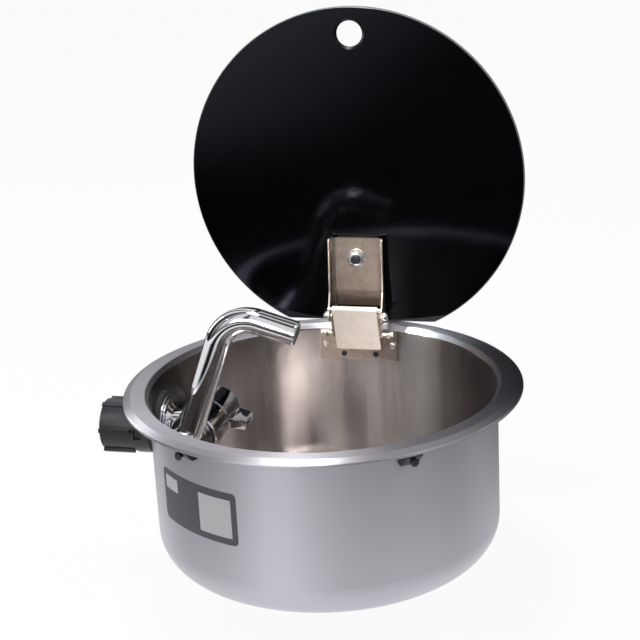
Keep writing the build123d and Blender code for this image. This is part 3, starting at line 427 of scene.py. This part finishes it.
dress(plain_finish("label_film", (0.045, 0.045, 0.055), (0.060, 0.060, 0.072)), "label")
dress(plain_finish("panel_film", (0.40, 0.40, 0.42), (0.47, 0.47, 0.49)), "label_panels")
dress(plain_finish("white_plastic", (0.70, 0.70, 0.67), (0.78, 0.78, 0.75)), "valve_cartridge")
dress(plain_finish("grey_plastic", (0.10, 0.10, 0.11), (0.14, 0.14, 0.15)), "aerator")
dress(plain_finish("plain_brass", (0.52, 0.36, 0.13), (0.62, 0.45, 0.19)), "valve_spindle")


# %% [markdown]
# New pieces are made where that is easy, on the Z axis, and then stood in place. Their turn and
# place are applied to their meshes, because every finished object stays at the origin, as the
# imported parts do.

# %% Modelling helpers
def thicken(piece, wall, even=False):
    """A Solidify modifier that gives a wall inwards, as thick at its corners where even is set."""
    thick = piece.modifiers.new("thick", "SOLIDIFY")
    thick.thickness = wall
    thick.offset = -1
    thick.use_even_offset = even


def soften(piece, width, segments, sharper_than=30):
    """A Bevel modifier on the edges that turn by more than an angle."""
    soft = piece.modifiers.new("soft", "BEVEL")
    soft.width = width
    soft.segments = segments
    soft.angle_limit = radians(sharper_than)


def apply_modifiers(piece):
    for modifier in list(piece.modifiers):
        bpy.ops.object.modifier_apply(modifier=modifier.name)


def stand(piece, place, direction):
    """Turn a piece's Z axis to a direction and move it, in its mesh."""
    piece.rotation_euler = Vector(direction).to_track_quat("Z", "Y").to_euler()
    piece.location = place
    bpy.ops.object.transform_apply(location=True, rotation=True, scale=True)


# %% [markdown]
# The tube's mouth is finished with a small rolled bead. It is an open cylinder with a wall and
# soft edges, stood at the end of the spout's arm.

# %% Spout bead
spout_pivot = Vector((-0.1150, -0.0373, -0.0450))
rise_angle = 70
rise_length = 0.1315
arm_angle = -17
arm_length = 0.0623
bead_radius = 0.0114
bead_depth = 0.0022
bead_wall = 0.0016
bead_edge = 0.0006
bead_lap = 0.0009


def upwards(angle):
    """A direction in the spout's plane, at an angle above the level."""
    return Vector((cos(radians(angle)), 0, sin(radians(angle))))


def add_spout_bead():
    arm = upwards(arm_angle)
    mouth = spout_pivot + upwards(rise_angle) * rise_length + arm * arm_length
    bpy.ops.object.select_all(action="DESELECT")
    bpy.ops.mesh.primitive_cylinder_add(vertices=96, radius=bead_radius, depth=bead_depth,
                                        end_fill_type="NOTHING")
    bead = bpy.context.object
    bead.name = "spout_bead"
    thicken(bead, bead_wall)
    soften(bead, bead_edge, 4)
    apply_modifiers(bead)
    stand(bead, mouth - arm * bead_lap, arm)
    bpy.ops.object.shade_smooth_by_angle(angle=radians(40))
    bead.data.materials.append(chrome_finish.material)
    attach(bead, "spout")
    print("spout bead", len(bead.data.vertices), "points at", [round(v, 4) for v in mouth])


add_spout_bead()


# %% [markdown]
# Edit mode works on what is selected. A face or an edge is picked here by a test of its place or
# its normal, which still holds when the sizes change, as a list of numbers wouldn't.

# %% Select by place
def select_only(piece, kind, test):
    """Select only the faces or edges that pass a test, and go to edit mode."""
    bpy.ops.object.mode_set(mode="EDIT")
    bpy.ops.mesh.select_mode(type=kind)
    bpy.ops.mesh.select_all(action="DESELECT")
    bpy.ops.object.mode_set(mode="OBJECT")
    parts = piece.data.polygons if kind == "FACE" else piece.data.edges
    for part in parts:
        part.select = test(part)
    bpy.ops.object.mode_set(mode="EDIT")


# %% [markdown]
# The handle's lever is a short flat wing, a little narrower at its tip. It starts as a block whose
# tip face is scaled down in edit mode. The tip is then hollowed by an inset and an extrusion
# inwards, and the finger's dish on top by an inset and a push down. The bevel leaves a few faces
# with no area in the corners, which are dissolved.

# %% Handle lever
tap_axis = Vector((-0.1150, 0, -0.0450))
lever_root = 0.0205
lever_tip = 0.0360
lever_height = 0.0105
lever_drop = 10
lever_edge = 0.0008
tip_taper = (1, 0.83, 0.80)
tip_wall = 0.0014
tip_hollow = 0.0060
dish_margin = 0.0022
dish_depth = 0.0007
no_size = 0.00001


def add_handle_lever():
    low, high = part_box("handle_lever")
    middle = Vector(((lever_root + lever_tip) / 2, (low[1] + high[1]) / 2, 0))
    bpy.ops.object.select_all(action="DESELECT")
    bpy.ops.mesh.primitive_cube_add(size=1, location=middle)
    lever = bpy.context.object
    lever.name = "winged_lever"
    lever.scale = (lever_tip - lever_root, high[1] - low[1], lever_height)
    bpy.ops.object.transform_apply(location=True, scale=True)
    select_only(lever, "FACE", lambda face: face.normal.x > 0.9)
    bpy.ops.transform.resize(value=tip_taper, center_override=(lever_tip, middle.y, 0))
    bpy.ops.mesh.inset(thickness=tip_wall)
    bpy.ops.mesh.extrude_region_move(TRANSFORM_OT_translate={"value": (-tip_hollow, 0, 0)})
    bpy.ops.object.mode_set(mode="OBJECT")
    top = lever_height * 0.4
    select_only(lever, "FACE", lambda face: face.normal.z > 0.9 and face.center.z > top)
    bpy.ops.mesh.inset(thickness=dish_margin)
    bpy.ops.transform.translate(value=(0, 0, -dish_depth))
    bpy.ops.object.mode_set(mode="OBJECT")
    soften(lever, lever_edge, 4, sharper_than=20)
    apply_modifiers(lever)
    bpy.ops.object.mode_set(mode="EDIT")
    bpy.ops.mesh.select_all(action="SELECT")
    bpy.ops.mesh.dissolve_degenerate(threshold=no_size)
    bpy.ops.object.mode_set(mode="OBJECT")
    lever.rotation_euler = (0, radians(lever_drop), 0)
    lever.location = tap_axis
    bpy.ops.object.transform_apply(location=True, rotation=True)
    bpy.ops.object.shade_smooth_by_angle(angle=radians(30))
    lever.data.materials.append(chrome_finish.material)
    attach(lever, "handle")
    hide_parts("handle_lever")
    print("lever", len(lever.data.vertices), "points")


add_handle_lever()


# %% [markdown]
# The lid's nut is a flange nut. Its flange, its hexagon and the collar on top are three open
# cylinders with a wall, joined into one piece. Each is easy to give soft edges on its own.

# %% Lid nut
nut_rings = (
    dict(radius=0.0094, depth=0.0018, wall=0.0050, low=0, vertices=72, edge=0.0003),
    dict(radius=0.0074, depth=0.0030, wall=0.0026, low=0.0014, vertices=6, edge=0.0005),
    dict(radius=0.0061, depth=0.0024, wall=0.0018, low=0.0035, vertices=48, edge=0.0007),
)


def add_ring(radius, depth, wall, low, vertices, edge):
    """A ring with soft edges, standing on the height low."""
    bpy.ops.object.select_all(action="DESELECT")
    bpy.ops.mesh.primitive_cylinder_add(vertices=vertices, radius=radius, depth=depth,
                                        location=(0, 0, low + depth / 2), end_fill_type="NOTHING")
    ring = bpy.context.object
    bpy.ops.object.transform_apply(location=True)
    thicken(ring, wall, even=True)
    soften(ring, edge, 3)
    apply_modifiers(ring)
    return ring


def add_lid_nut():
    low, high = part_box("lid_nut")
    rings = [add_ring(**sizes) for sizes in nut_rings]
    bpy.ops.object.select_all(action="DESELECT")
    for ring in rings:
        ring.select_set(True)
    flange = rings[0]
    bpy.context.view_layer.objects.active = flange
    bpy.ops.object.join()
    flange.name = "lid_flange_nut"
    stand(flange, ((low[0] + high[0]) / 2, high[1], (low[2] + high[2]) / 2), (0, -1, 0))
    bpy.ops.object.shade_smooth_by_angle(angle=radians(35))
    flange.data.materials.append(bright_finish.material)
    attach(flange, "lid")
    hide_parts("lid_nut")
    print("lid nut", len(flange.data.vertices), "points")


add_lid_nut()


# %% [markdown]
# The black nut outside the wall has narrow grip ribs. Its body is one open cylinder, and each rib
# is a few of its side faces, pushed out in edit mode. The two end loops are then drawn in to the
# bore and bridged, and a Bevel modifier rounds what a mould would round.

# %% Back nut
nut_sides = 144
nut_bore = 0.01305
nut_edge = 0.0005
rib_count = 6
rib_turn = 7
rib_start = 0.0025
rib_height = 0.0026
rib_half_angle = 5.5
touching = 0.00001


def add_back_nut():
    low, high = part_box("back_nut")
    radius = (high[1] - low[1]) / 2 - rib_height
    length = high[0] - low[0]
    rib_step = 360 / rib_count

    def on_rib(face):
        turn = (degrees(atan2(face.center.y, face.center.x)) - rib_turn) % rib_step
        return min(turn, rib_step - turn) < rib_half_angle and face.center.z > rib_start

    def on_end_loop(edge):
        start, end = (nut.data.vertices[i].co for i in edge.vertices)
        middle = (start + end) / 2
        at_an_end = middle.z < touching or middle.z > length - touching
        return at_an_end and hypot(middle.x, middle.y) < radius + touching

    bpy.ops.object.select_all(action="DESELECT")
    bpy.ops.mesh.primitive_cylinder_add(vertices=nut_sides, radius=radius, depth=length,
                                        location=(0, 0, length / 2), end_fill_type="NOTHING")
    nut = bpy.context.object
    nut.name = "ribbed_nut"
    bpy.ops.object.transform_apply(location=True)
    bpy.ops.object.mode_set(mode="EDIT")
    bpy.ops.mesh.select_all(action="SELECT")
    bpy.ops.mesh.bisect(plane_co=(0, 0, rib_start), plane_no=(0, 0, 1))
    bpy.ops.object.mode_set(mode="OBJECT")
    select_only(nut, "FACE", on_rib)
    bpy.ops.mesh.extrude_region_shrink_fatten(TRANSFORM_OT_shrink_fatten={"value": rib_height})
    bpy.ops.object.mode_set(mode="OBJECT")
    select_only(nut, "EDGE", on_end_loop)
    bpy.ops.mesh.extrude_edges_move()
    inward = nut_bore / radius
    bpy.ops.transform.resize(value=(inward, inward, 1), center_override=(0, 0, length / 2))
    bpy.ops.mesh.bridge_edge_loops()
    bpy.ops.mesh.select_all(action="SELECT")
    bpy.ops.mesh.normals_make_consistent(inside=False)
    bpy.ops.object.mode_set(mode="OBJECT")
    soften(nut, nut_edge, 3)
    apply_modifiers(nut)
    stand(nut, (high[0], (low[1] + high[1]) / 2, (low[2] + high[2]) / 2), (-1, 0, 0))
    bpy.ops.object.shade_smooth_by_angle(angle=radians(35))
    nut.data.materials.append(plastic_finish.material)
    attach(nut, "bowl_body")
    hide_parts("back_nut")
    print("back nut", len(nut.data.vertices), "points")


add_back_nut()


# %% [markdown]
# The basin stands on a pale floor that the camera sees as white. Polished steel mirrors its
# surroundings, so the floor looks bright to reflections only near the basin, and dark farther away
# and behind it. That keeps the glass black and draws the dark side of the tubes. The pattern goes
# to the glow's colour, and a Mix Shader's factor chooses the rays that see it.

# %% Floor
floor_size = 12
floor_gap = 0.001
behind = (0.0, 0.5)
near_edge = (0.55, 0.80)
near_sides = (0.15, 0.45)
far_edge = (1.25, 1.8)
far_left = (-1.1, -0.35)


def mirrored_floor(pale):
    """How bright the floor looks in a reflection, where 1 is white."""
    x, y, z = pale.axes()
    aside = x.math("ABSOLUTE")
    reach = radius_of(x, y)
    front = (y - aside * 0.5).span(*behind, 1.0, 0.10)
    near = reach.span(*near_edge, 1.25, 0.03) * aside.span(*near_sides, 1.0, 0.5)
    far = reach.span(*far_edge, 0.0, 1.1) * x.span(*far_left, 1.0, 0.03)
    return front * (near + far)


def add_floor():
    bpy.ops.object.select_all(action="DESELECT")
    bpy.ops.mesh.primitive_plane_add(size=floor_size, location=(0, 0, cad_low[2] - floor_gap))
    floor = bpy.context.object
    floor.name = "floor"
    bpy.ops.object.transform_apply(location=True)
    pale = Finish("pale_floor", Roughness=0.9, Specular_IOR_Level=0.1)
    pale.colour((0.80, 0.80, 0.80, 1))
    seen = pale.rays("Camera")
    mirrored = pale.rays("Glossy")
    through = pale.rays("Transmission")
    brightness = (1 - mirrored) + mirrored * mirrored_floor(pale)
    glow = pale.add("ShaderNodeEmission", {}, {"Color": brightness, "Strength": 1.0})
    plain = Field(pale, pale.shader.outputs[0])
    shown = pale.add("ShaderNodeMixShader", {},
                     {0: seen * 0.93 + mirrored + through * 0.8, 1: plain, 2: glow})
    pale.put(pale.tree.nodes["Material Output"].inputs[0], shown)
    floor.data.materials.append(pale.material)
    print("floor at", round(cad_low[2] - floor_gap, 4))


add_floor()


# %% [markdown]
# The room is white to the camera. Reflections see it brighter towards the ceiling and darker in
# a few upright bands, like the gaps between panels, which give chrome its streaks.

# %% Room light
ceiling = (0.0, 0.35)
wide_bands = 3
wide_start = 0.157
narrow_bands = 9
narrow_start = 1.728


def add_room():
    world = bpy.data.worlds.new("studio")
    bpy.context.scene.world = world
    world.use_nodes = True
    room = Nodes(world.node_tree)
    x, y, z = room.axes("Generated")
    height = z.span(*ceiling, 0.12, 0.95)
    turn = turn_of(x, y)
    wide = (turn * wide_bands + wide_start).math("SINE").span(0.45, 0.85, 1.0, 0.08)
    narrow = (turn * narrow_bands + narrow_start).math("SINE").span(0.60, 0.85, 1.0, 0.10)
    seen = room.rays("Camera")
    background = room.tree.nodes["Background"]
    room.put(background.inputs["Color"], (1, 1, 1, 1))
    room.put(background.inputs["Strength"], seen + (1 - seen) * height * wide * narrow)
    print("room with", wide_bands, "wide and", narrow_bands, "narrow dark bands")


add_room()


# %% [markdown]
# Large weak lamps light the basin from the front, the right, above and the left. Two narrow beams
# pass over the rim: one lights the hinge, and the other draws the bright strip inside the bowl.

# %% Soft boxes
def add_softbox(name, place, size, power, tint=(1, 1, 1), target=(0, 0, 0), spread=180):
    data = bpy.data.lights.new(name, "AREA")
    data.shape = "RECTANGLE"
    data.size, data.size_y = size
    data.energy = power
    data.color = tint
    data.spread = radians(spread)
    lamp = bpy.data.objects.new(name, data)
    lamp.location = place
    lamp.rotation_euler = (Vector(target) - Vector(place)).to_track_quat("-Z", "Y").to_euler()
    bpy.context.scene.collection.objects.link(lamp)
    print(name, power, "W")


add_softbox("key_box", place=(-0.65, -2.0, 0.75), size=(1.1, 0.7), power=11)
add_softbox("fill_box", place=(1.8, -0.9, 0.9), size=(0.35, 1.2), power=1.5)
add_softbox("top_box", place=(-0.15, -0.1, 1.3), size=(0.3, 0.3), power=12,
            tint=(1.0, 0.97, 0.93))
add_softbox("side_box", place=(-1.6, 0.7, 0.55), size=(0.10, 0.9), power=7)
add_softbox("hinge_box", place=(-0.2, -1.2, 0.34), size=(0.15, 0.15), power=0.03,
            tint=(1.0, 0.93, 0.85), target=(0, 0.13, 0.055), spread=8)
add_softbox("bowl_box", place=(-1.20, -0.60, 0.95), size=(0.05, 0.2), power=0.14,
            target=(0.070, 0.132, -0.08), spread=5)


# %% [markdown]
# Photographers put black cards near polished metal. This one stands behind the lid, where only the
# rim's right side mirrors it.

# %% Dark card
card_place = (0.12, 0.45, 0.26)
card_size = (0.36, 0.5)


def add_dark_card():
    bpy.ops.object.select_all(action="DESELECT")
    bpy.ops.mesh.primitive_plane_add(size=1, location=card_place, rotation=(pi / 2, 0, 0))
    card = bpy.context.object
    card.name = "dark_card"
    card.scale = (*card_size, 1)
    bpy.ops.object.transform_apply(location=True, rotation=True, scale=True)
    card.visible_camera = False
    card.visible_diffuse = False
    card.visible_shadow = False
    black = Finish("card_black", Roughness=1.0, Specular_IOR_Level=0.0)
    black.colour((0.01, 0.01, 0.012, 1))
    card.data.materials.append(black.material)
    print("card", card_size[0], "by", card_size[1], "m")


add_dark_card()
